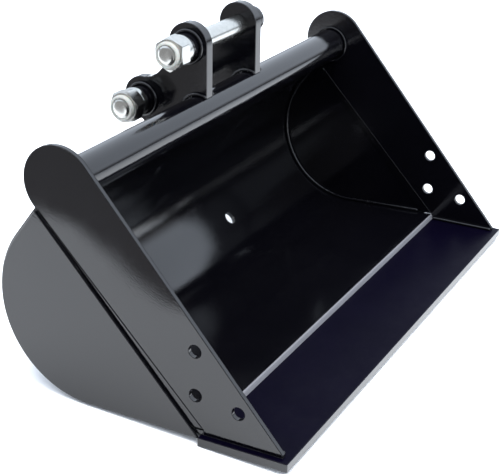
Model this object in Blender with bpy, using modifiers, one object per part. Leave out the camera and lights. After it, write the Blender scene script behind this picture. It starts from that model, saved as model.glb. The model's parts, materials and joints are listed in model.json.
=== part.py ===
"""Excavator grading bucket: welded plate shell, torsion tube, two ears and two nutted pins.

Shapes are drawn in a working frame (millimetres): X across the bucket, Y from the lip
back to the heel, Z up from the top of the cutting edge. A parent empty then leans that
frame back until the bucket stands on its cutting edge and its two heels.
"""
import math

import bmesh
import bpy
from mathutils import Matrix, Vector

MM = 0.001
GAP = 0.3

# cutting edge
HALF_WIDTH = 305.0
EDGE_DEPTH = 90.5
EDGE_THICK = 9.0

# centre of the rolled back, shared by the end panels and the wrapper
HEEL_CENTRE = (206.5, 95.0)

# end panels, outside the side plates
PANEL_INNER = 299.0
PANEL_THICK = 3.0
PANEL_RADIUS = 96.6
PANEL_TOE = -3.2

# side plates
SIDE_THICK = 5.0
LOBE_CENTRE = (235.25, 212.0)
LOBE_RADIUS = 36.9
SIDE_TIP = (7.7, 3.2)
SIDE_HOLES = ((96.3, 83.2), (95.8, 39.0), (52.3, 32.6))
SIDE_HOLE_RADIUS = 6.5

# straight runs, each a unit normal and a distance from the working frame's origin:
# the shell's top, the end panels' front edges and the side plates' rear edges
TOP_NORMAL = (0.794, 0.608)
PANEL_NORMAL = (0.742, -0.670)
PANEL_SEAM = 69.8
SIDE_NORMAL = (0.7232, -0.6906)
SIDE_SEAM = 59.2
SEAM_TOP = 172.0
SEAM_THICK = 3.0
SEAM_LAP = 3.0

# wrapper
WRAP_THICK = 4.7
WRAP_FRONT = 87.5
WRAP_LIFT = 0.45
WRAP_RADIUS = 98.8
DRAIN_X = 98.5
DRAIN_ANGLE = -42.6
DRAIN_RADIUS = 7.5

# torsion tube
TUBE_CENTRE = (239.1, 207.2)
TUBE_RADIUS = 19.0
TUBE_WALL = 4.0

# ears, bosses and pins
EAR_THICK = 12.0
EAR_LEFT_X = -36.0
EAR_RIGHT_X = 73.0
EAR_FRONT = 229.5
EAR_TOP = (252.5, 278.5)
EAR_BACK = (308.5, 215.0)
EAR_TOP_RADIUS = 23.0
EAR_BACK_RADIUS = 22.0
PIN_UPPER = (251.7, 277.0)
PIN_LOWER = (307.4, 213.0)
BOSS_RADIUS = 15.0
BOSS_LENGTH = 15.0
PIN_RADIUS = 11.0
BORE_RADIUS = 11.08
THREAD_RADIUS = 10.2
HEAD_RADIUS = 14.5
HEAD_LENGTH = 7.0
WASHER_RADIUS = 16.2
WASHER_LENGTH = 6.8
NUT_FLATS = 32.0
NUT_LENGTH = 16.7
NUT_TURN = {"upper": -3.1, "lower": 17.9}
COLLAR_RADIUS = 13.8
COLLAR_LENGTH = 4.5
PIN_PROUD = 1.5

BEAD = 1.7

HEEL_RUN = HEEL_CENTRE[0] - EDGE_DEPTH
HEEL_RISE = HEEL_CENTRE[1] + EDGE_THICK
LEAN = math.atan2(HEEL_RISE, HEEL_RUN) - math.asin(WRAP_RADIUS / math.hypot(HEEL_RISE, HEEL_RUN))


def leaned(y, z):
    """Working-frame (y, z) after the lean, still in millimetres."""
    c = math.cos(LEAN)
    s = math.sin(LEAN)
    return (y * c + z * s, z * c - y * s)


BACK_REACH = leaned(*EAR_BACK)[0] + EAR_BACK_RADIUS
FRONT_REACH = leaned(0.0, -EDGE_THICK)[0]
FLOOR = leaned(EDGE_DEPTH, -EDGE_THICK)[1]


def clear_scene():
    for ob in list(bpy.data.objects):
        bpy.data.objects.remove(ob, do_unlink=True)
    for col in list(bpy.data.collections):
        bpy.data.collections.remove(col)


def material(name, colour, roughness, metallic):
    mat = bpy.data.materials.new(name)
    mat.use_nodes = True
    shader = mat.node_tree.nodes["Principled BSDF"]
    shader.inputs["Base Color"].default_value = (*colour, 1.0)
    shader.inputs["Roughness"].default_value = roughness
    shader.inputs["Metallic"].default_value = metallic
    mat.diffuse_color = (*colour, 1.0)
    return mat


def arc(centre, radius, start, end, steps):
    """Points on an arc in the (y, z) plane, angles in degrees from +Y towards +Z."""
    points = []
    for i in range(steps + 1):
        a = math.radians(start + (end - start) * i / steps)
        points.append((centre[0] + radius * math.cos(a), centre[1] + radius * math.sin(a)))
    return points


def add_mesh(name, bm, x, mat, col, root):
    bmesh.ops.recalc_face_normals(bm, faces=bm.faces[:])
    mesh = bpy.data.meshes.new(name)
    bm.to_mesh(mesh)
    bm.free()
    mesh.materials.append(mat)
    ob = bpy.data.objects.new(name, mesh)
    col.objects.link(ob)
    ob.location = (x * MM, 0.0, 0.0)
    ob.parent = root
    return ob


def plate(name, outline, x, thick, mat, col, root, soften=0.5):
    """Flat plate: an outline in the (y, z) plane given thickness along X."""
    bm = bmesh.new()
    near = [bm.verts.new((-thick / 2 * MM, y * MM, z * MM)) for y, z in outline]
    far = [bm.verts.new((thick / 2 * MM, y * MM, z * MM)) for y, z in outline]
    bm.faces.new(near)
    bm.faces.new(list(reversed(far)))
    for i in range(len(outline)):
        j = (i + 1) % len(outline)
        bm.faces.new((near[i], far[i], far[j], near[j]))
    ob = add_mesh(name, bm, x, mat, col, root)
    if soften > 0:
        bevel = ob.modifiers.new("soft edges", "BEVEL")
        bevel.width = soften * MM
        bevel.segments = 2
        bevel.limit_method = "ANGLE"
        bevel.angle_limit = math.radians(40)
        bevel.harden_normals = False
    return ob


def turned(name, profile, x, centre, mat, col, root, steps=48, bore=None):
    """Round piece about an X-parallel axis; profile is (x, radius) from left to right."""
    bm = bmesh.new()
    rings = []
    for px, radius in profile:
        ring = []
        for i in range(steps):
            a = 2 * math.pi * i / steps
            ring.append(bm.verts.new((px * MM, radius * math.cos(a) * MM, radius * math.sin(a) * MM)))
        rings.append(ring)
    if bore is not None:
        for px in (profile[-1][0], profile[0][0]):
            ring = []
            for i in range(steps):
                a = 2 * math.pi * i / steps
                ring.append(bm.verts.new((px * MM, bore * math.cos(a) * MM, bore * math.sin(a) * MM)))
            rings.append(ring)
        rings.append(rings[0])
    for r in range(len(rings) - 1):
        for i in range(steps):
            j = (i + 1) % steps
            bm.faces.new((rings[r][i], rings[r][j], rings[r + 1][j], rings[r + 1][i]))
    if bore is None:
        bm.faces.new(list(reversed(rings[0])))
        bm.faces.new(rings[-1])
    ob = add_mesh(name, bm, x, mat, col, root)
    ob.location = (x * MM, centre[0] * MM, centre[1] * MM)
    return ob


def smooth(ob):
    for face in ob.data.polygons:
        face.use_smooth = True
    ob.data.set_sharp_from_angle(angle=math.radians(38))


def x_cutter(name, centre, radius, x, length, cutters, root, steps=40):
    bm = bmesh.new()
    bmesh.ops.create_cone(bm, cap_ends=True, segments=steps, radius1=radius * MM,
                          radius2=radius * MM, depth=length * MM, matrix=Matrix.Rotation(math.pi / 2, 4, "Y"))
    mesh = bpy.data.meshes.new(name)
    bm.to_mesh(mesh)
    bm.free()
    ob = bpy.data.objects.new(name, mesh)
    cutters.objects.link(ob)
    ob.location = (x * MM, centre[0] * MM, centre[1] * MM)
    ob.parent = root
    ob.hide_render = True
    ob.display_type = "WIRE"
    return ob


def cut(ob, cutter):
    mod = ob.modifiers.new("cut " + cutter.name, "BOOLEAN")
    mod.operation = "DIFFERENCE"
    mod.solver = "EXACT"
    mod.object = cutter
    with_bevel = [m.name for m in ob.modifiers if m.type == "BEVEL"]
    for name in with_bevel:
        ob.modifiers.move(ob.modifiers.find(name), len(ob.modifiers) - 1)


def bead(name, points, closed, mat, col, root, radius=BEAD):
    """Weld bead: a round bar swept along points given as (x, y, z)."""
    curve = bpy.data.curves.new(name, "CURVE")
    curve.dimensions = "3D"
    curve.bevel_depth = radius * MM
    curve.bevel_resolution = 1
    curve.use_fill_caps = True
    spline = curve.splines.new("POLY")
    spline.points.add(len(points) - 1)
    for i, (px, py, pz) in enumerate(points):
        spline.points[i].co = (px * MM, py * MM, pz * MM, 1.0)
    spline.use_cyclic_u = closed
    spline.use_smooth = True
    curve.materials.append(mat)
    ob = bpy.data.objects.new(name, curve)
    col.objects.link(ob)
    ob.parent = root
    return ob


def line_point(normal, offset, z):
    """Point at height z on the line with that unit normal and distance from the origin."""
    return ((offset - normal[1] * z) / normal[0], z)


def crossing(normal_a, offset_a, normal_b, offset_b):
    """Point where two such lines cross."""
    det = normal_a[0] * normal_b[1] - normal_a[1] * normal_b[0]
    return ((offset_a * normal_b[1] - offset_b * normal_a[1]) / det,
            (normal_a[0] * offset_b - normal_b[0] * offset_a) / det)


def top_offset(radius):
    """Distance from the origin of the top run that is tangent to the heel circle."""
    return HEEL_CENTRE[0] * TOP_NORMAL[0] + HEEL_CENTRE[1] * TOP_NORMAL[1] + radius


def top_point(radius, back):
    """Point on the straight top run, at a distance along it from the arc's end."""
    return (HEEL_CENTRE[0] + radius * TOP_NORMAL[0] - back * TOP_NORMAL[1],
            HEEL_CENTRE[1] + radius * TOP_NORMAL[1] + back * TOP_NORMAL[0])


def heel_start(front, radius):
    """Angle where a straight floor drawn from a front point meets the heel circle."""
    run = HEEL_CENTRE[0] - front[0]
    rise = HEEL_CENTRE[1] - front[1]
    slope = math.asin(radius / math.hypot(run, rise)) - math.atan2(rise, run)
    return -90.0 - math.degrees(slope)


def floor_point(radius, start, y):
    """Point at depth y on the floor line that leaves the heel circle at an angle."""
    a = math.radians(start)
    back = (HEEL_CENTRE[0] + radius * math.cos(a) - y) / -math.sin(a)
    return (y, HEEL_CENTRE[1] + radius * math.sin(a) - back * math.cos(a))


TOP_ANGLE = math.degrees(math.atan2(TOP_NORMAL[1], TOP_NORMAL[0]))
FLOOR_START = heel_start((WRAP_FRONT, WRAP_LIFT), WRAP_RADIUS)


def panel_outline():
    toe = line_point(PANEL_NORMAL, PANEL_SEAM, PANEL_TOE)
    points = [toe]
    points += arc(HEEL_CENTRE, PANEL_RADIUS, heel_start(toe, PANEL_RADIUS), TOP_ANGLE, 32)
    points.append(crossing(TOP_NORMAL, top_offset(PANEL_RADIUS), PANEL_NORMAL, PANEL_SEAM))
    return points


def side_outline():
    tip_y, tip_z = SIDE_TIP
    dy = LOBE_CENTRE[0] - tip_y
    dz = LOBE_CENTRE[1] - tip_z
    slope = math.degrees(math.atan2(dz, dy) + math.asin(LOBE_RADIUS / math.hypot(dy, dz)))
    reach = SIDE_SEAM - (SIDE_NORMAL[0] * LOBE_CENTRE[0] + SIDE_NORMAL[1] * LOBE_CENTRE[1])
    rear = math.degrees(math.atan2(SIDE_NORMAL[1], SIDE_NORMAL[0]) - math.acos(reach / LOBE_RADIUS))
    heel_y = WRAP_FRONT - GAP
    points = [(tip_y, GAP), (heel_y, GAP)]
    points.append((heel_y, (SIDE_SEAM - SIDE_NORMAL[0] * heel_y) / SIDE_NORMAL[1]))
    points += arc(LOBE_CENTRE, LOBE_RADIUS, rear, slope + 90.0, 44)
    points.append((tip_y, tip_z))
    return points


def wrapper_outline():
    along = (TUBE_CENTRE[0] - HEEL_CENTRE[0]) * -TOP_NORMAL[1]
    along += (TUBE_CENTRE[1] - HEEL_CENTRE[1]) * TOP_NORMAL[0]
    along -= TUBE_RADIUS + 0.6
    inner = WRAP_RADIUS - WRAP_THICK
    points = [(WRAP_FRONT, WRAP_LIFT)]
    points += arc(HEEL_CENTRE, WRAP_RADIUS, FLOOR_START, TOP_ANGLE, 32)
    points.append(top_point(WRAP_RADIUS, along))
    points.append(top_point(inner, along))
    points += arc(HEEL_CENTRE, inner, TOP_ANGLE, FLOOR_START, 32)
    points.append(floor_point(inner, FLOOR_START, WRAP_FRONT))
    return points


def seam_outline():
    """Wedge-shaped weld run that closes the corner behind a side plate's rear edge."""
    low = floor_point(WRAP_RADIUS - WRAP_THICK, FLOOR_START, WRAP_FRONT)[1] + 2 * GAP
    near_low = line_point(SIDE_NORMAL, SIDE_SEAM + GAP, low)
    near_high = line_point(SIDE_NORMAL, SIDE_SEAM + GAP, SEAM_TOP)
    far_low = line_point(PANEL_NORMAL, PANEL_SEAM + SEAM_LAP, low)
    far_high = (near_high[0] + SEAM_LAP + 1.0, SEAM_TOP)
    return [near_low, far_low, far_high, near_high]


def ear_outline():
    saddle = TUBE_RADIUS + GAP
    offset = top_offset(WRAP_RADIUS) + GAP
    aside = offset - (TUBE_CENTRE[0] * TOP_NORMAL[0] + TUBE_CENTRE[1] * TOP_NORMAL[1])
    rear = TOP_ANGLE - math.degrees(math.acos(aside / saddle))
    front = math.degrees(math.acos((EAR_FRONT - TUBE_CENTRE[0]) / saddle))
    heel_y = 275.0
    heel = (heel_y, (offset - TOP_NORMAL[0] * heel_y) / TOP_NORMAL[1])
    points = arc(TUBE_CENTRE, saddle, rear, front, 16)
    points += arc(EAR_TOP, EAR_TOP_RADIUS, 180.0, 0.0, 20)
    points += [(276.0, 268.0), (278.2, 259.0), (282.6, 250.6), (289.0, 243.8), (297.0, 238.6)]
    points += arc(EAR_BACK, EAR_BACK_RADIUS, 98.0, -62.0, 22)
    points.append(heel)
    return points


def build_plates(paint, cutters, col, root):
    inner = PANEL_INNER
    outline = [(0.0, -EDGE_THICK), (EDGE_DEPTH, -EDGE_THICK), (EDGE_DEPTH, 0.0), (0.0, 0.0)]
    plate("cutting_edge", outline, 0.0, 2 * HALF_WIDTH, paint, col, root, 0.7)
    wrapper = plate("wrapper_shell", wrapper_outline(), 0.0, 2 * (inner - GAP), paint, col, root, 0.4)
    for side, word in ((-1, "left"), (1, "right")):
        plate("end_panel_" + word, panel_outline(), side * (inner + PANEL_THICK / 2), PANEL_THICK,
              paint, col, root)
        middle = side * (inner - GAP - SIDE_THICK / 2)
        sheet = plate("side_plate_" + word, side_outline(), middle, SIDE_THICK, paint, col, root)
        for n, centre in enumerate(SIDE_HOLES):
            name = "hole_" + word + "_" + str(n + 1)
            cut(sheet, x_cutter(name, centre, SIDE_HOLE_RADIUS, middle, 20.0, cutters, root))
        relief = x_cutter("lobe_relief_" + word, LOBE_CENTRE, LOBE_RADIUS + GAP,
                          side * (inner - GAP - SIDE_THICK + 10.0 - GAP), 20.0, cutters, root, 64)
        cut(wrapper, relief)
    angle = math.radians(DRAIN_ANGLE)
    middle = WRAP_RADIUS - WRAP_THICK / 2
    centre = (HEEL_CENTRE[0] + middle * math.cos(angle), HEEL_CENTRE[1] + middle * math.sin(angle))
    drain = x_cutter("drain", centre, DRAIN_RADIUS, DRAIN_X, 30.0, cutters, root)
    radial = Vector((0.0, math.cos(angle), math.sin(angle)))
    drain.rotation_mode = "QUATERNION"
    drain.rotation_quaternion = Vector((1.0, 0.0, 0.0)).rotation_difference(radial)
    cut(wrapper, drain)


def build_tube_and_ears(paint, cutters, col, root):
    half = PANEL_INNER - GAP - SIDE_THICK - GAP
    smooth(turned("torsion_tube", [(-half, TUBE_RADIUS), (half, TUBE_RADIUS)], 0.0, TUBE_CENTRE, paint,
                  col, root, 64, TUBE_RADIUS - TUBE_WALL))
    for x, word, side in ((EAR_LEFT_X, "left", -1), (EAR_RIGHT_X, "right", 1)):
        ear = plate("ear_" + word, ear_outline(), x, EAR_THICK, paint, col, root, 0.6)
        for centre, level in ((PIN_UPPER, "upper"), (PIN_LOWER, "lower")):
            cut(ear, x_cutter("bore_" + level + "_" + word, centre, BORE_RADIUS, x, 40.0, cutters, root, 48))
            near = EAR_THICK / 2 + GAP
            far = near + BOSS_LENGTH
            profile = [(near, BOSS_RADIUS), (far - 1.2, BOSS_RADIUS), (far, BOSS_RADIUS - 1.2)]
            if side < 0:
                profile = [(-px, radius) for px, radius in reversed(profile)]
            smooth(turned("boss_" + level + "_" + word, profile, x, centre, paint, col, root, 48, BORE_RADIUS))


def build_pins(zinc, nylon, col, root):
    seat = EAR_LEFT_X - EAR_THICK / 2 - GAP - BOSS_LENGTH - GAP
    stop = EAR_RIGHT_X + EAR_THICK / 2 + GAP + BOSS_LENGTH + GAP
    nut_right = seat - WASHER_LENGTH - GAP
    nut_left = nut_right - NUT_LENGTH
    ring_right = nut_left - GAP
    ring_left = ring_right - COLLAR_LENGTH
    end = ring_left - PIN_PROUD
    for centre, level in ((PIN_UPPER, "upper"), (PIN_LOWER, "lower")):
        profile = [(end, THREAD_RADIUS - 1.6), (end + 1.6, THREAD_RADIUS), (seat + 0.7, THREAD_RADIUS),
                   (seat + 1.5, PIN_RADIUS), (stop, PIN_RADIUS), (stop, HEAD_RADIUS),
                   (stop + HEAD_LENGTH - 1.5, HEAD_RADIUS), (stop + HEAD_LENGTH, HEAD_RADIUS - 1.5)]
        smooth(turned("pin_" + level, profile, 0.0, centre, zinc, col, root))
        profile = [(seat - WASHER_LENGTH, WASHER_RADIUS - 0.6), (seat - WASHER_LENGTH + 0.6, WASHER_RADIUS),
                   (seat - 0.6, WASHER_RADIUS), (seat, WASHER_RADIUS - 0.6)]
        smooth(turned("washer_" + level, profile, 0.0, centre, zinc, col, root, 48, THREAD_RADIUS + GAP))
        hexagon = nut("nut_" + level, nut_left, nut_right, centre, zinc, col, root)
        hexagon.rotation_euler = (math.radians(NUT_TURN[level]), 0.0, 0.0)
        smooth(hexagon)
        profile = [(ring_left, COLLAR_RADIUS - 1.6), (ring_left + 1.0, COLLAR_RADIUS - 0.8),
                   (ring_left + 2.4, COLLAR_RADIUS), (ring_right, COLLAR_RADIUS)]
        smooth(turned("locking_ring_" + level, profile, 0.0, centre, nylon, col, root, 48,
                      THREAD_RADIUS + GAP))


def nut(name, left, right, centre, mat, col, root):
    """Hexagon with chamfered corners and a round clearance bore."""
    steps = 48
    corner = NUT_FLATS / math.sqrt(3.0)
    bm = bmesh.new()
    rings = []
    chamfer = 1.8
    for px, limit in ((left, NUT_FLATS / 2 - 0.4), (left + chamfer, corner), (right - chamfer, corner),
                      (right, NUT_FLATS / 2 - 0.4)):
        ring = []
        for i in range(steps):
            a = 2 * math.pi * i / steps
            wedge = (a + math.pi / 6) % (math.pi / 3) - math.pi / 6
            radius = min(NUT_FLATS / 2 / math.cos(wedge), limit)
            ring.append(bm.verts.new((px * MM, radius * math.cos(a) * MM, radius * math.sin(a) * MM)))
        rings.append(ring)
    for px in (right, left):
        ring = []
        for i in range(steps):
            a = 2 * math.pi * i / steps
            radius = THREAD_RADIUS + GAP
            ring.append(bm.verts.new((px * MM, radius * math.cos(a) * MM, radius * math.sin(a) * MM)))
        rings.append(ring)
    rings.append(rings[0])
    for r in range(len(rings) - 1):
        for i in range(steps):
            j = (i + 1) % steps
            bm.faces.new((rings[r][i], rings[r][j], rings[r + 1][j], rings[r + 1][i]))
    ob = add_mesh(name, bm, 0.0, mat, col, root)
    ob.location = (0.0, centre[0] * MM, centre[1] * MM)
    return ob


def build_beads(paint, col, root):
    lift = GAP + BEAD
    inner = PANEL_INNER
    for side, word in ((-1, "left"), (1, "right")):
        x = side * (inner - lift)
        radius = WRAP_RADIUS - WRAP_THICK - lift
        wedge = seam_outline()
        path = [(x, *floor_point(radius, FLOOR_START, wedge[1][0] + 2 * lift))]
        path += [(x, y, z) for y, z in arc(HEEL_CENTRE, radius, FLOOR_START, TOP_ANGLE, 26)]
        path.append((x, *top_point(radius, 26.0)))
        bead("weld_shell_" + word, path, False, paint, col, root)
        plate("weld_seam_" + word, wedge, side * (inner - GAP - SEAM_THICK / 2), SEAM_THICK, paint,
              col, root, 1.0)
        foot = side * (inner - GAP - SIDE_THICK - lift)
        bead("weld_foot_" + word, [(foot, SIDE_TIP[0] + 1.0, lift), (foot, WRAP_FRONT - lift, lift)], False,
             paint, col, root)
        ring = [(foot, y, z) for y, z in arc(TUBE_CENTRE, TUBE_RADIUS + lift, -26.0, 296.0, 40)]
        bead("weld_tube_" + word, ring, False, paint, col, root)
    for x, word, side in ((EAR_LEFT_X, "left", -1), (EAR_RIGHT_X, "right", 1)):
        face = x + side * (EAR_THICK / 2 + lift)
        for centre, level in ((PIN_UPPER, "upper"), (PIN_LOWER, "lower")):
            ring = [(face, y, z) for y, z in arc(centre, BOSS_RADIUS + lift, 0.0, 350.0, 35)]
            bead("weld_boss_" + level + "_" + word, ring, True, paint, col, root)
        for way, where in ((-1, "a"), (1, "b")):
            face = x + way * (EAR_THICK / 2 + lift)
            path = [(face, y, z) for y, z in arc(TUBE_CENTRE, TUBE_RADIUS + lift, -20.0, 118.0, 20)]
            bead("weld_ear_" + word + "_" + where, path, False, paint, col, root)
    low = -GAP - BEAD
    bead("weld_lip", [(-inner + lift, EDGE_DEPTH + lift, low), (inner - lift, EDGE_DEPTH + lift, low)],
         False, paint, col, root)


def main():
    clear_scene()
    col = bpy.data.collections.new("excavator_bucket")
    cutters = bpy.data.collections.new("cutters")
    bpy.context.scene.collection.children.link(col)
    bpy.context.scene.collection.children.link(cutters)
    root = bpy.data.objects.new("bucket_frame", None)
    col.objects.link(root)
    root.rotation_euler = (-LEAN, 0.0, 0.0)
    root.location = (0.0, -(BACK_REACH + FRONT_REACH) / 2 * MM, -FLOOR * MM)
    paint = material("black_paint", (0.016, 0.016, 0.019), 0.28, 0.0)
    zinc = material("zinc_plate", (0.72, 0.75, 0.78), 0.3, 1.0)
    nylon = material("locking_nylon", (0.62, 0.66, 0.68), 0.45, 0.0)
    build_plates(paint, cutters, col, root)
    build_tube_and_ears(paint, cutters, col, root)
    build_pins(zinc, nylon, col, root)
    build_beads(paint, col, root)


main()
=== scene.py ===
"""Looks of the excavator grading bucket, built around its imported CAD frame."""
import json
import math

import bmesh
import bpy
import numpy as np
from mathutils import Euler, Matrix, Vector, noise


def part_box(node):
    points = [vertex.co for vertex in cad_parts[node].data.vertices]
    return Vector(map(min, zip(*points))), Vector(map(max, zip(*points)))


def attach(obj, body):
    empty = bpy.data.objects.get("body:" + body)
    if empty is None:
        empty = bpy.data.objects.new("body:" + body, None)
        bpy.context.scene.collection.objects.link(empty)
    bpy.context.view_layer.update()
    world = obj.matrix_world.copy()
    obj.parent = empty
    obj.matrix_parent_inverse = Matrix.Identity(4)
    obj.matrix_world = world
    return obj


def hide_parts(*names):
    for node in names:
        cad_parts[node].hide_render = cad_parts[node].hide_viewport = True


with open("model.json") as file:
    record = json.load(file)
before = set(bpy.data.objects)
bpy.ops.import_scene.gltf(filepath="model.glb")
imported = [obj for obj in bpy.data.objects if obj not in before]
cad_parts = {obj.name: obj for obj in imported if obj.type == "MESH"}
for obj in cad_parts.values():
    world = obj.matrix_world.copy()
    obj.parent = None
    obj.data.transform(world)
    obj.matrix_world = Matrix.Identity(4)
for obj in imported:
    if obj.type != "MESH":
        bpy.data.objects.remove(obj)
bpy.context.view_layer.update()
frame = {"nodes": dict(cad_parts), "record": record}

NODES = frame["nodes"]
SLOT = {part["node"]: part["material_slot"] for part in frame["record"]["subparts"]}
MM = 0.001
# distance that still counts as the same place
NEAR = 0.05 * MM

# camera: place and turn, lens, and the shift that frames the bucket
CAMERA_PLACE = (-1.13766, -0.52967, 0.63898)
CAMERA_TURN = (63.8645, -3.3828, -62.5568)
CAMERA_LENS = 90.23
CAMERA_SENSOR = 36.0
CAMERA_SHIFT = (-0.0121, 0.0749)

# base colours, each a (low, high) pair that cloudy noise blends
BLACK = ((0.0008, 0.0008, 0.0014), (0.0016, 0.0015, 0.0024))
NAVY_BLACK = ((0.0006, 0.0004, 0.0030), (0.0014, 0.0009, 0.0050))
# grey that paints a highlight onto the front weld seam and the shell's lip face
SEAM_HIGHLIGHT_GREY = ((0.115, 0.115, 0.127), (0.145, 0.145, 0.160))
ZINC_TONES = ((0.38, 0.385, 0.37), (0.54, 0.54, 0.51))
NYLON_TONES = ((0.25, 0.25, 0.225), (0.36, 0.36, 0.33))
FLOOR_TONES = ((0.88, 0.88, 0.88), (0.90, 0.90, 0.90))
DUST = (0.008, 0.008, 0.009)
# grey that paints a highlight onto the sharp edges of the black paint
EDGE_HIGHLIGHT_GREY = (0.085, 0.085, 0.090)
# paler zinc colour along sharp edges
PALE_EDGE_ZINC = (0.70, 0.71, 0.72)

# rounding radii of the edge masks, and the cosines from an open face to a sharp edge
PAINT_EDGE = 0.0009
ZINC_EDGE = 0.0006
EDGE_SAMPLES = 4
EDGE_COSINES = (0.995, 0.8)

# ranges of noise values: most of them, the middle ones and the peaks
MOST = (0.3, 0.7)
CENTRAL = (0.35, 0.65)
PEAKS = (0.55, 0.80)

# dressing of the CAD nodes
EDGE_ROUNDING = 0.0004
WELD_REACH = 1e-5
FLAT_DEGREES = 0.3
BEVEL_DEGREES = 32.0
BEVEL_SEGMENTS = 2
NORMAL_WEIGHT = 100

# turned and hexagonal pieces: steps round them, crease angles, then radii and lengths
LATHE_STEPS = 96
NUT_STEPS = 144
LATHE_CREASE = 28.0
NUT_CREASE = 18.0
AXIS_RADIUS = 0.0004
THREAD = 10.2 * MM
SHANK = 11.0 * MM
BORE = 10.6 * MM
PITCH = 2.5 * MM
THREAD_DEPTH = 1.0 * MM
THREAD_START = 1.9 * MM
THREAD_END = 0.7 * MM
SHANK_START = 1.5 * MM
HEAD_LENGTH = 7.0 * MM
HEAD_ROUNDING = 1.2 * MM
WASHER_ROUNDING = 0.8 * MM
WASHER_BORE_EASE = 0.4 * MM
NUT_HALF_FLATS = 16.0 * MM
NUT_FACE_INSET = 0.4 * MM
NUT_CORNER_CUT = 0.25 * MM
NUT_CHAMFER = 30.0

# the bolt's domed tip: (distance from its end, radius)
BOLT_TIP = ((0.0, AXIS_RADIUS), (0.05 * MM, 2.5 * MM), (0.2 * MM, 5.0 * MM), (0.5 * MM, 7.2 * MM),
            (0.95 * MM, 8.7 * MM), (1.4 * MM, 9.2 * MM), (1.6 * MM, THREAD - 0.6 * MM))
# one thread: (distance along it, depth)
THREAD_FORM = ((0.0, 0.0), (0.35 * MM, 0.0), (1.1 * MM, THREAD_DEPTH), (1.4 * MM, THREAD_DEPTH))
# the nylon crown: share of its length that rolls over, how deep, and its lip as (distance, radius)
ROLL_SHARE = 0.55
ROLL_DEPTH = 2.2 * MM
ROLL_STEPS = 8
CROWN_LIP = ((0.15 * MM, BORE + 0.5 * MM), (0.6 * MM, BORE))

# weld beads: radius, points round the bead and step along it
BEAD = 1.85 * MM
TUBE_BEAD_SCALE = 0.62
BEAD_SIDES = 12
BEAD_STEP = 0.55 * MM
# a run longer than this follows X; a shorter one follows its bar's outermost points
LONG_RUN = 100.0 * MM
CREST_DEPTH = 0.1 * MM
# their ripples: length, how far they bow, and the share of the radius that is still and that moves
RIPPLE = 1.7 * MM
RIPPLE_BOW = 0.35
RIPPLE_STILL = 0.90
RIPPLE_MOVES = 0.12
# their slow swelling: share of the radius, and noise blobs per metre
WANDER = 0.09
WANDER_DENSITY = 160.0
# their open ends: share of the radius at the tip, and the length over which it fills out
TIP_SHARE = 0.25
TIP_LENGTH = 2.5 * MM

# studio
FLOOR_RADIUS = 30.0
FLOOR_DROP = 0.0005
BACKDROP_RADIUS = 29.0
BACKDROP_FOOT = -0.5
BACKDROP_TOP = 30.0
BACKDROP_STEPS = 96
LIGHT_PLACE = (-0.6, -0.6, 3.0)
LIGHT_TARGET = (-0.4, -0.2, 0.0)
LIGHT_SIZE = (3.4, 3.0)
LIGHT_POWER = 200.0
FLAG_COLOUR = (0.50, 0.50, 0.52)
FLAG_X = -0.45
SKY_LOW = (0.33, 0.34, 0.36)
SKY_HIGH = (1.56, 1.72, 1.96)
SKY_RISE = (0.05, 0.18)


def tree_of(name):
    """New material: its node tree, its Principled shader and a coordinate socket in metres."""
    mat = bpy.data.materials.new(name)
    mat.use_nodes = True
    tree = mat.node_tree
    tree.nodes.clear()
    out = tree.nodes.new("ShaderNodeOutputMaterial")
    shader = tree.nodes.new("ShaderNodeBsdfPrincipled")
    tree.links.new(shader.outputs["BSDF"], out.inputs["Surface"])
    where = tree.nodes.new("ShaderNodeTexCoord").outputs["Object"]
    return mat, tree, shader, where


def noise_at(tree, where, size, detail=2.0, rough=0.5):
    """Noise whose blobs are about size metres across."""
    node = tree.nodes.new("ShaderNodeTexNoise")
    node.inputs["Scale"].default_value = 1.0 / size
    node.inputs["Detail"].default_value = detail
    node.inputs["Roughness"].default_value = rough
    tree.links.new(where, node.inputs["Vector"])
    return node.outputs["Fac"]


def spread(tree, source, given, wanted):
    """Source in the given (low, high) range, mapped to the wanted one."""
    node = tree.nodes.new("ShaderNodeMapRange")
    node.inputs["From Min"].default_value, node.inputs["From Max"].default_value = given
    node.inputs["To Min"].default_value, node.inputs["To Max"].default_value = wanted
    tree.links.new(source, node.inputs["Value"])
    return node.outputs["Result"]


def combine(tree, operation, a, b):
    """Math node on two values, each a socket or a number."""
    node = tree.nodes.new("ShaderNodeMath")
    node.operation = operation
    for socket, value in zip(node.inputs, (a, b)):
        if isinstance(value, float):
            socket.default_value = value
        else:
            tree.links.new(value, socket)
    return node.outputs["Value"]


def blend_colour(tree, factor, low, high):
    """Blend of two colours, each a socket or an RGB triple."""
    node = tree.nodes.new("ShaderNodeMix")
    node.data_type = "RGBA"
    tree.links.new(factor, node.inputs["Factor"])
    for socket, value in ((node.inputs[6], low), (node.inputs[7], high)):
        if isinstance(value, tuple):
            socket.default_value = (*value, 1.0)
        else:
            tree.links.new(value, socket)
    return node.outputs[2]


def bump(tree, heights, shader):
    """Chain of bumps: heights is a list of (height socket, depth in metres)."""
    normal = None
    for height, depth in heights:
        node = tree.nodes.new("ShaderNodeBump")
        node.inputs["Strength"].default_value = 1.0
        node.inputs["Distance"].default_value = depth
        tree.links.new(height, node.inputs["Height"])
        if normal:
            tree.links.new(normal, node.inputs["Normal"])
        normal = node.outputs["Normal"]
    tree.links.new(normal, shader.inputs["Normal"])


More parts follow.
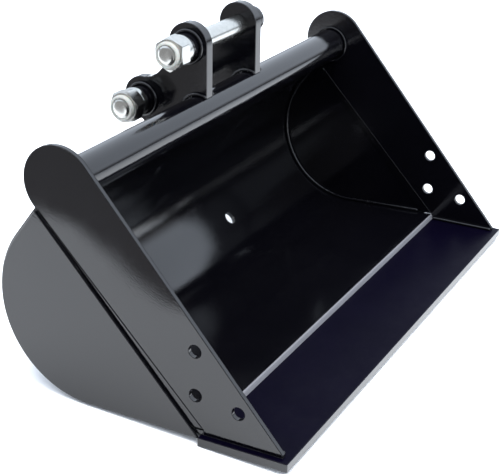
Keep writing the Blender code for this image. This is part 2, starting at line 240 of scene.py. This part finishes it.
def edge_mask(tree, radius):
    """0 on open faces, rising to 1 on edges sharper than the rounding radius."""
    round_normal = tree.nodes.new("ShaderNodeBevel")
    round_normal.samples = EDGE_SAMPLES
    round_normal.inputs["Radius"].default_value = radius
    flat_normal = tree.nodes.new("ShaderNodeNewGeometry")
    dot = tree.nodes.new("ShaderNodeVectorMath")
    dot.operation = "DOT_PRODUCT"
    tree.links.new(round_normal.outputs["Normal"], dot.inputs[0])
    tree.links.new(flat_normal.outputs["Normal"], dot.inputs[1])
    return spread(tree, dot.outputs["Value"], EDGE_COSINES, (0.0, 1.0))


def paint_material(name, grain, roughness, ior=1.52, tones=BLACK):
    """Powder coat with orange peel, faint plate waves, painted highlights on its sharp edges and a
    little dust.

    Grain is the orange peel's depth in metres, roughness the paint's (low, high) range of it.
    """
    mat, tree, shader, where = tree_of(name)
    cloud = noise_at(tree, where, 0.060, detail=4.0, rough=0.55)
    fine = noise_at(tree, where, 0.0035, detail=3.0, rough=0.6)
    patchy = spread(tree, fine, CENTRAL, (0.15, 0.55))
    # sharp edges get a patchy grey painted highlight, and the paint is rougher there
    painted_edge_highlight = combine(tree, "MULTIPLY", edge_mask(tree, PAINT_EDGE), patchy)
    specks = spread(tree, fine, PEAKS, (0.0, 0.25))
    dusty = blend_colour(tree, specks, blend_colour(tree, cloud, *tones), DUST)
    colour = blend_colour(tree, painted_edge_highlight, dusty, EDGE_HIGHLIGHT_GREY)
    tree.links.new(colour, shader.inputs["Base Color"])
    smears = noise_at(tree, where, 0.025, detail=5.0, rough=0.6)
    rough = spread(tree, smears, MOST, roughness)
    edge_highlight_roughness = combine(tree, "MULTIPLY", painted_edge_highlight, 0.25)
    tree.links.new(combine(tree, "ADD", rough, edge_highlight_roughness), shader.inputs["Roughness"])
    shader.inputs["IOR"].default_value = ior
    waves = noise_at(tree, where, 0.090, detail=1.0)
    wave_depth = 0.0006
    orange_peel = noise_at(tree, where, 0.0015)
    bump(tree, [(waves, wave_depth), (orange_peel, grain)], shader)
    return mat


def zinc_material():
    """Bright zinc plating: pale grey metal with cloudy patches and fine handling marks."""
    mat, tree, shader, where = tree_of("bright_zinc")
    cloud = noise_at(tree, where, 0.009, detail=4.0, rough=0.6)
    fine = noise_at(tree, where, 0.0011, detail=3.0, rough=0.6)
    # sharp edges turn a paler zinc colour
    paler_edges = combine(tree, "MULTIPLY", edge_mask(tree, ZINC_EDGE), 0.6)
    colour = blend_colour(tree, paler_edges, blend_colour(tree, cloud, *ZINC_TONES), PALE_EDGE_ZINC)
    tree.links.new(colour, shader.inputs["Base Color"])
    shader.inputs["Metallic"].default_value = 1.0
    tree.links.new(spread(tree, cloud, MOST, (0.28, 0.16)), shader.inputs["Roughness"])
    cloud_depth, mark_depth = 0.00005, 0.000012
    bump(tree, [(cloud, cloud_depth), (fine, mark_depth)], shader)
    return mat


def nylon_material():
    """Greyish cream nylon: faint mottling and a soft translucent sheen."""
    mat, tree, shader, where = tree_of("cream_nylon")
    cloud = noise_at(tree, where, 0.004, detail=3.0, rough=0.6)
    tree.links.new(blend_colour(tree, cloud, *NYLON_TONES), shader.inputs["Base Color"])
    tree.links.new(spread(tree, cloud, MOST, (0.32, 0.46)), shader.inputs["Roughness"])
    shader.inputs["Subsurface Weight"].default_value = 0.15
    shader.inputs["Subsurface Scale"].default_value = 0.001
    mottle_depth = 0.00006
    bump(tree, [(noise_at(tree, where, 0.0012), mottle_depth)], shader)
    return mat


def floor_material():
    """Matt, nearly white floor with faint clouds."""
    mat, tree, shader, where = tree_of("pale_floor")
    cloud = noise_at(tree, where, 0.4, detail=3.0)
    tree.links.new(blend_colour(tree, cloud, *FLOOR_TONES), shader.inputs["Base Color"])
    shader.inputs["Roughness"].default_value = 0.9
    shader.inputs["Specular IOR Level"].default_value = 0.1
    return mat


PAINT = paint_material("gloss_black_powder_coat", 0.00006, (0.05, 0.11))
BEAD_PAINT = paint_material("painted_weld_bead", 0.00006, (0.18, 0.30))
DULL_PAINT = paint_material("worn_edge_paint", 0.00003, (0.34, 0.46), 1.09, NAVY_BLACK)
# matt grey paint that stands in for the highlight along the front seam
SEAM_HIGHLIGHT_PAINT = paint_material("seam_painted_highlight", 0.00003, (0.50, 0.62), 1.3, SEAM_HIGHLIGHT_GREY)
ZINC = zinc_material()
NYLON = nylon_material()
FINISH = {"black_paint": PAINT, "zinc_plate": ZINC, "locking_nylon": NYLON}


def soften(ob):
    """Dress a CAD node, its vertices untouched: weld, round sharp edges, even the shading."""
    mesh = ob.data
    if "custom_normal" in mesh.attributes:
        mesh.attributes.remove(mesh.attributes["custom_normal"])
    mesh.polygons.foreach_set("use_smooth", [True] * len(mesh.polygons))
    weld = ob.modifiers.new("weld", "WELD")
    weld.merge_threshold = WELD_REACH
    flat = ob.modifiers.new("flat", "DECIMATE")
    flat.decimate_type = "DISSOLVE"
    flat.angle_limit = math.radians(FLAT_DEGREES)
    bevel = ob.modifiers.new("bevel", "BEVEL")
    bevel.width = EDGE_ROUNDING
    bevel.segments = BEVEL_SEGMENTS
    bevel.limit_method = "ANGLE"
    bevel.angle_limit = math.radians(BEVEL_DEGREES)
    bevel.use_clamp_overlap = False
    even = ob.modifiers.new("even", "WEIGHTED_NORMAL")
    even.weight = NORMAL_WEIGHT


for name, ob in NODES.items():
    ob.data.materials.clear()
    ob.data.materials.append(FINISH[SLOT[name]])
    soften(ob)


def finish_faces(node, material, wanted):
    """Give the faces of a node that wanted(normal, centre) picks their own finish."""
    mesh = NODES[node].data
    mesh.materials.append(material)
    for face in mesh.polygons:
        if wanted(face.normal, face.center):
            face.material_index = 1


# cosines past which a face counts as looking forward or up
FORWARD = 0.8
UPWARD = 0.9
lip_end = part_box("wrapper_shell")[0].y + 2.0 * MM
# the shell's forward-facing lip face gets the grey painted highlight
finish_faces("wrapper_shell", SEAM_HIGHLIGHT_PAINT, lambda n, c: n.y < -FORWARD and c.y < lip_end)
finish_faces("cutting_edge", DULL_PAINT, lambda n, c: n.z > UPWARD)


def solid(name, verts, faces, material, body, node):
    """A smooth mesh piece that moves with its body and replaces a CAD node, if one is given."""
    mesh = bpy.data.meshes.new(name)
    mesh.from_pydata([tuple(v) for v in verts], [], faces)
    mesh.materials.append(material)
    bm = bmesh.new()
    bm.from_mesh(mesh)
    bmesh.ops.recalc_face_normals(bm, faces=bm.faces)
    bm.to_mesh(mesh)
    bm.free()
    mesh.polygons.foreach_set("use_smooth", [True] * len(mesh.polygons))
    ob = bpy.data.objects.new(name, mesh)
    bpy.context.scene.collection.objects.link(ob)
    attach(ob, body)
    if node:
        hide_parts(node)
    return ob


def crease(ob, degrees):
    """Sharp shading only where faces turn by more than so many degrees."""
    split = ob.modifiers.new("crease", "EDGE_SPLIT")
    split.split_angle = math.radians(degrees)
    split.use_edge_sharp = False


def rings_to_faces(count, steps, closed=False):
    """Faces that join count rings of steps points each, with end caps unless the rings close."""
    faces = []
    last = count if closed else count - 1
    for i in range(last):
        a, b = i * steps, (i + 1) % count * steps
        for k in range(steps):
            n = (k + 1) % steps
            faces.append((a + k, a + n, b + n, b + k))
    if not closed:
        faces.append(tuple(range(steps)))
        faces.append(tuple((count - 1) * steps + k for k in range(steps)))
    return faces


def lathe(name, profile, centre, material, body, node, closed=False):
    """Profile of (x, radius) in metres turned about the line along X through the centre."""
    verts = []
    for x, radius in profile:
        for k in range(LATHE_STEPS):
            a = 2 * math.pi * k / LATHE_STEPS
            verts.append((x, centre.y + radius * math.cos(a), centre.z + radius * math.sin(a)))
    faces = rings_to_faces(len(profile), LATHE_STEPS, closed)
    ob = solid(name, verts, faces, material, body, node)
    crease(ob, LATHE_CREASE)
    return ob


def rounded(points, radius, steps=3):
    """Open profile with its inner corners rounded, by less than half of each leg."""
    most = 0.45
    out = [points[0]]
    for before, here, after in zip(points, points[1:], points[2:]):
        p, a, b = Vector(here), Vector(before), Vector(after)
        reach = min(radius, (a - p).length * most, (b - p).length * most)
        start, end = p + (a - p).normalized() * reach, p + (b - p).normalized() * reach
        for i in range(steps + 1):
            t = i / steps
            out.append(tuple(start * (1 - t) ** 2 + p * 2 * t * (1 - t) + end * t * t))
    out.append(points[-1])
    return out


def measure(node):
    """Centre, low and high corners of a CAD node's box, and half its height."""
    low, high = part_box(node)
    return (low + high) / 2, low, high, (high.z - low.z) / 2


def node_points(node):
    """Vertices of a CAD node as rows of x, y, z."""
    return np.array([v.co for v in NODES[node].data.vertices], float).reshape(-1, 3)


def pin_piece(level, body):
    """Cross pin: a bolt end with a domed tip and cut threads, a plain shank and a round head."""
    node = "pin_" + level
    centre, low, high, head_radius = measure(node)
    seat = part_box("washer_" + level)[1].x
    head = high.x - HEAD_LENGTH
    profile = [(low.x + along, radius) for along, radius in BOLT_TIP]
    x = low.x + THREAD_START
    while x < seat - PITCH:
        profile += [(x + along, THREAD - depth) for along, depth in THREAD_FORM]
        x += PITCH
    profile += [(seat + THREAD_END, THREAD), (seat + SHANK_START, SHANK), (head, SHANK)]
    head_profile = [(head, SHANK), (head, head_radius),
                    (high.x, head_radius), (high.x, AXIS_RADIUS)]
    profile += rounded(head_profile, HEAD_ROUNDING)[1:]
    ob = lathe("bolt_pin_" + level, profile, centre, ZINC, body, node)
    # the round head takes the black paint instead of the zinc
    ob.data.materials.append(PAINT)
    for face in ob.data.polygons:
        face.material_index = int(face.center.x > head - NEAR)


def washer_piece(level, body):
    """Thick washer with rounded rims."""
    node = "washer_" + level
    centre, low, high, radius = measure(node)
    ring = [(low.x, BORE), (low.x, radius), (high.x, radius), (high.x, BORE), (low.x, BORE)]
    profile = rounded(ring, WASHER_ROUNDING)[1:-1]
    profile = [(low.x, BORE + WASHER_BORE_EASE)] + profile + [(high.x, BORE)]
    lathe("thick_washer_" + level, profile, centre, ZINC, body, node, closed=True)


def crown_piece(level, body):
    """The lock nut's crown: a rolled nylon lip that turns in over the bolt's end."""
    node = "locking_ring_" + level
    centre, low, high, radius = measure(node)
    roll_length = (high.x - low.x) * ROLL_SHARE
    profile = [(high.x, BORE), (high.x, radius)]
    for i in range(ROLL_STEPS + 1):
        a = math.pi / 2 * i / ROLL_STEPS
        x = low.x + roll_length * (1 - math.sin(a))
        profile.append((x, radius - ROLL_DEPTH * (1 - math.cos(a))))
    profile += [(low.x + along, lip_radius) for along, lip_radius in CROWN_LIP]
    lathe("nylon_crown_" + level, profile, centre, NYLON, body, node, closed=True)


def nut_piece(level, body):
    """Hexagon nut: chamfers where its corners meet the turned ends."""
    node = "nut_" + level
    centre, low, high = measure(node)[:3]
    away = node_points(node)[:, 1:] - np.array((centre.y, centre.z))
    reach = np.hypot(away[:, 0], away[:, 1])
    corner_radius = reach.max()
    corner = math.atan2(*away[int(reach.argmax())][::-1])
    face_radius = NUT_HALF_FLATS - NUT_FACE_INSET
    corner_limit = corner_radius - NUT_CORNER_CUT
    slope = math.tan(math.radians(NUT_CHAMFER))
    half_side = math.pi / 6
    rings = [[], [], [], [], [], []]
    for k in range(NUT_STEPS):
        a = 2 * math.pi * k / NUT_STEPS
        off = (a + half_side) % (2 * half_side) - half_side
        hexagon = min(NUT_HALF_FLATS / math.cos(half_side - abs(off)), corner_limit)
        drop = max(hexagon - face_radius, 0.0) * slope
        section = ((low.x, BORE), (low.x, face_radius), (low.x + drop, hexagon),
                   (high.x - drop, hexagon), (high.x, face_radius), (high.x, BORE))
        turned = a + corner
        for ring, (x, radius) in zip(rings, section):
            y = centre.y + radius * math.cos(turned)
            ring.append((x, y, centre.z + radius * math.sin(turned)))
    verts = [p for ring in rings for p in ring]
    faces = rings_to_faces(len(rings), NUT_STEPS, closed=True)
    ob = solid("lock_nut_" + level, verts, faces, ZINC, body, node)
    crease(ob, NUT_CREASE)


for level in ("upper", "lower"):
    body = "pin_set_" + level
    pin_piece(level, body)
    washer_piece(level, body)
    nut_piece(level, body)
    crown_piece(level, body)


def chain(points):
    """Points ordered into one run, from its loosest end."""
    left = [Vector(p) for p in points]
    start = max(left, key=lambda p: min((p - q).length for q in left if q is not p))
    run = [start]
    left.remove(start)
    while left:
        near = min(left, key=lambda p: (p - run[-1]).length)
        run.append(near)
        left.remove(near)
    return run


def stations(path, closed, step):
    """Evenly spaced (point, direction, distance so far, whole length) along a path."""
    ends = path + [path[0]] if closed else path
    lengths = [(b - a).length for a, b in zip(ends, ends[1:])]
    total = sum(lengths)
    count = max(int(total / step), 8)
    spots = []
    leg, passed = 0, 0.0
    for i in range(count if closed else count + 1):
        s = total * i / count
        while leg < len(lengths) - 1 and s > passed + lengths[leg]:
            passed += lengths[leg]
            leg += 1
        spots.append((ends[leg].lerp(ends[leg + 1], (s - passed) / lengths[leg]), s))
    n = len(spots)
    out = []
    for i, (p, s) in enumerate(spots):
        before = spots[(i - 2) % n][0] if closed else spots[max(i - 2, 0)][0]
        after = spots[(i + 2) % n][0] if closed else spots[min(i + 2, n - 1)][0]
        out.append((p, (after - before).normalized(), s, total))
    return out


def bead_piece(node):
    """Rippled weld bead along the middle of its CAD bar, thinner at open ends."""
    low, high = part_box(node)
    mid = (low + high) / 2
    closed = node.startswith("weld_boss")
    size = BEAD * (TUBE_BEAD_SCALE if node.startswith("weld_tube") else 1.0)
    if high.x - low.x > LONG_RUN:
        path = [Vector((low.x, mid.y, mid.z)), Vector((high.x, mid.y, mid.z))]
        aside = Vector((0, 1, 0))
    else:
        points = node_points(node)
        crest = points[points[:, 0] > high.x - CREST_DEPTH]
        path = chain([(mid.x, y, z) for y, z in np.unique(crest[:, 1:].round(5), axis=0)])
        aside = Vector((1, 0, 0))
    verts = []
    run = stations(path, closed, BEAD_STEP)
    for p, along, s, total in run:
        up = along.cross(aside).normalized()
        taper = 1.0
        if not closed:
            taper = min(1.0, TIP_SHARE + math.sqrt(max(min(s, total - s), 0.0) / TIP_LENGTH))
        wander = 1.0 + WANDER * noise.noise(p * WANDER_DENSITY)
        for k in range(BEAD_SIDES):
            a = 2 * math.pi * k / BEAD_SIDES
            wave = abs(math.sin(math.pi * (s / RIPPLE + RIPPLE_BOW * math.cos(2 * a))))
            radius = size * taper * wander * (RIPPLE_STILL + RIPPLE_MOVES * wave)
            verts.append(p + (aside * math.cos(a) + up * math.sin(a)) * radius)
    faces = rings_to_faces(len(run), BEAD_SIDES, closed)
    solid(node.replace("weld", "bead"), verts, faces, BEAD_PAINT, "bucket", node)


for node in sorted(NODES):
    if node.startswith("weld_") and not node.startswith("weld_seam"):
        bead_piece(node)


# the cutting edge leans, so its own up and back directions come from the mount under it
MOUNTS = {mount["name"]: mount for mount in frame["record"]["mounts"]}
UP = -Vector(MOUNTS["edge_under_face"]["axis"])
BACK = Vector((0.0, UP.z, -UP.y))

# section of the ground seam, in millimetres back from and up from the shell's front foot
SEAM_SECTION = ((-2.2, -0.35), (-2.1, 0.4), (-0.5, 4.4), (0.2, 5.0), (1.5, 5.0), (1.8, 4.3),
                (1.0, 3.0), (1.0, -0.35), (-2.2, -0.35))
SEAM_ROUNDING = 0.4
SEAM_INSET = 5.5 * MM
SEAM_COUNT = 300
SEAM_CREASE = 40.0
# its unevenness: millimetres, noise blobs per metre, and noise step from one corner to the next
SEAM_SWELL = 0.10
SEAM_DENSITY = 220.0
SEAM_CORNER_STEP = 0.6


def seam_strip():
    """Ground weld run that caps the wrapper's front edge on the cutting edge; its grey is a
    painted highlight.
    """
    points = node_points("wrapper_shell")
    along = points @ np.array(BACK)
    front = points[along < along.min() + NEAR]
    foot = Vector(front[int((front @ np.array(UP)).argmin())])
    outline = rounded(SEAM_SECTION, SEAM_ROUNDING, steps=2)[1:-1]
    reach = points[:, 0].max() - SEAM_INSET
    verts = []
    for i in range(SEAM_COUNT + 1):
        x = -reach + 2 * reach * i / SEAM_COUNT
        for k, (back, up) in enumerate(outline):
            spot = Vector((x * SEAM_DENSITY, k * SEAM_CORNER_STEP, 0.0))
            swell = SEAM_SWELL * noise.noise(spot)
            p = foot + BACK * (back + swell) * MM + UP * (up + swell) * MM
            verts.append((x, p.y, p.z))
    faces = rings_to_faces(SEAM_COUNT + 1, len(outline))
    ob = solid("seam_strip", verts, faces, SEAM_HIGHLIGHT_PAINT, "bucket", None)
    crease(ob, SEAM_CREASE)


seam_strip()

camera = bpy.data.cameras.new("camera")
camera.lens = CAMERA_LENS
camera.sensor_width = CAMERA_SENSOR
camera.shift_x, camera.shift_y = CAMERA_SHIFT
camera_ob = bpy.data.objects.new("camera", camera)
camera_ob.location = CAMERA_PLACE
camera_ob.rotation_euler = Euler([math.radians(a) for a in CAMERA_TURN])
bpy.context.scene.collection.objects.link(camera_ob)
bpy.context.scene.camera = camera_ob

floor_mesh = bpy.data.meshes.new("floor")
bm = bmesh.new()
bmesh.ops.create_circle(bm, cap_ends=True, segments=64, radius=FLOOR_RADIUS)
bm.to_mesh(floor_mesh)
bm.free()
floor_mesh.materials.append(floor_material())
floor = bpy.data.objects.new("studio_floor", floor_mesh)
floor.location.z = -FLOOR_DROP
bpy.context.scene.collection.objects.link(floor)


def glow_sheet(name, verts, faces, colour):
    """Evenly glowing stage sheet that casts no shadow and lights only reflections."""
    mesh = bpy.data.meshes.new(name)
    mesh.from_pydata(verts, [], faces)
    mat = bpy.data.materials.new(name)
    mat.use_nodes = True
    tree = mat.node_tree
    tree.nodes.clear()
    glow = tree.nodes.new("ShaderNodeEmission")
    glow.inputs["Color"].default_value = (*colour, 1.0)
    out = tree.nodes.new("ShaderNodeOutputMaterial")
    tree.links.new(glow.outputs["Emission"], out.inputs["Surface"])
    mesh.materials.append(mat)
    ob = bpy.data.objects.new(name, mesh)
    ob.visible_diffuse = ob.visible_shadow = ob.visible_transmission = False
    bpy.context.scene.collection.objects.link(ob)
    return ob


def backdrop(radius, top, steps):
    """Tall white cylinder round the floor, which reflections don't see."""
    verts = []
    for z in (BACKDROP_FOOT, top):
        for k in range(steps):
            a = 2 * math.pi * k / steps
            verts.append((radius * math.cos(a), radius * math.sin(a), z))
    faces = [(k, (k + 1) % steps, steps + (k + 1) % steps, steps + k) for k in range(steps)]
    glow_sheet("studio_backdrop", verts, faces, (1.0, 1.0, 1.0)).visible_glossy = False


backdrop(BACKDROP_RADIUS, BACKDROP_TOP, BACKDROP_STEPS)

# overhead softbox, which reflections don't see
overhead = bpy.data.lights.new("overhead", "AREA")
overhead.shape = "RECTANGLE"
overhead.size, overhead.size_y = LIGHT_SIZE
overhead.energy = LIGHT_POWER
overhead_ob = bpy.data.objects.new("overhead", overhead)
overhead_ob.location = LIGHT_PLACE
light_ray = Vector(LIGHT_TARGET) - Vector(LIGHT_PLACE)
overhead_ob.rotation_euler = light_ray.to_track_quat("-Z", "Y").to_euler()
overhead_ob.visible_glossy = False
bpy.context.scene.collection.objects.link(overhead_ob)


def flag(name, outline):
    """Grey card to the left of the bucket, outlined in (y, z), that only reflections see."""
    verts = [(FLAG_X, y, z) for y, z in outline]
    glow_sheet(name, verts, [tuple(range(len(verts)))], FLAG_COLOUR).visible_camera = False


flag("flag_side", ((-0.25, 0.036), (0.05, 0.036), (0.09, 0.056), (0.13, 0.080), (0.16, 0.098),
                   (0.20, 0.104), (0.27, 0.110), (0.27, 0.60), (-0.25, 0.60)))
flag("flag_back", ((0.275, 0.002), (0.80, 0.002), (0.80, 0.50), (0.275, 0.50)))

# sky that rises from grey at the horizon to bright above
world = bpy.data.worlds.new("studio")
bpy.context.scene.world = world
world.use_nodes = True
sky = world.node_tree
sky.nodes.clear()
sky_out = sky.nodes.new("ShaderNodeOutputWorld")
sky_back = sky.nodes.new("ShaderNodeBackground")
sky_where = sky.nodes.new("ShaderNodeTexCoord")
sky_split = sky.nodes.new("ShaderNodeSeparateXYZ")
sky.links.new(sky_where.outputs["Generated"], sky_split.inputs["Vector"])
rise = spread(sky, sky_split.outputs["Z"], SKY_RISE, (0.0, 1.0))
sky.links.new(blend_colour(sky, rise, SKY_LOW, SKY_HIGH), sky_back.inputs["Color"])
sky.links.new(sky_back.outputs["Background"], sky_out.inputs["Surface"])

bpy.context.scene.view_settings.view_transform = "Standard"
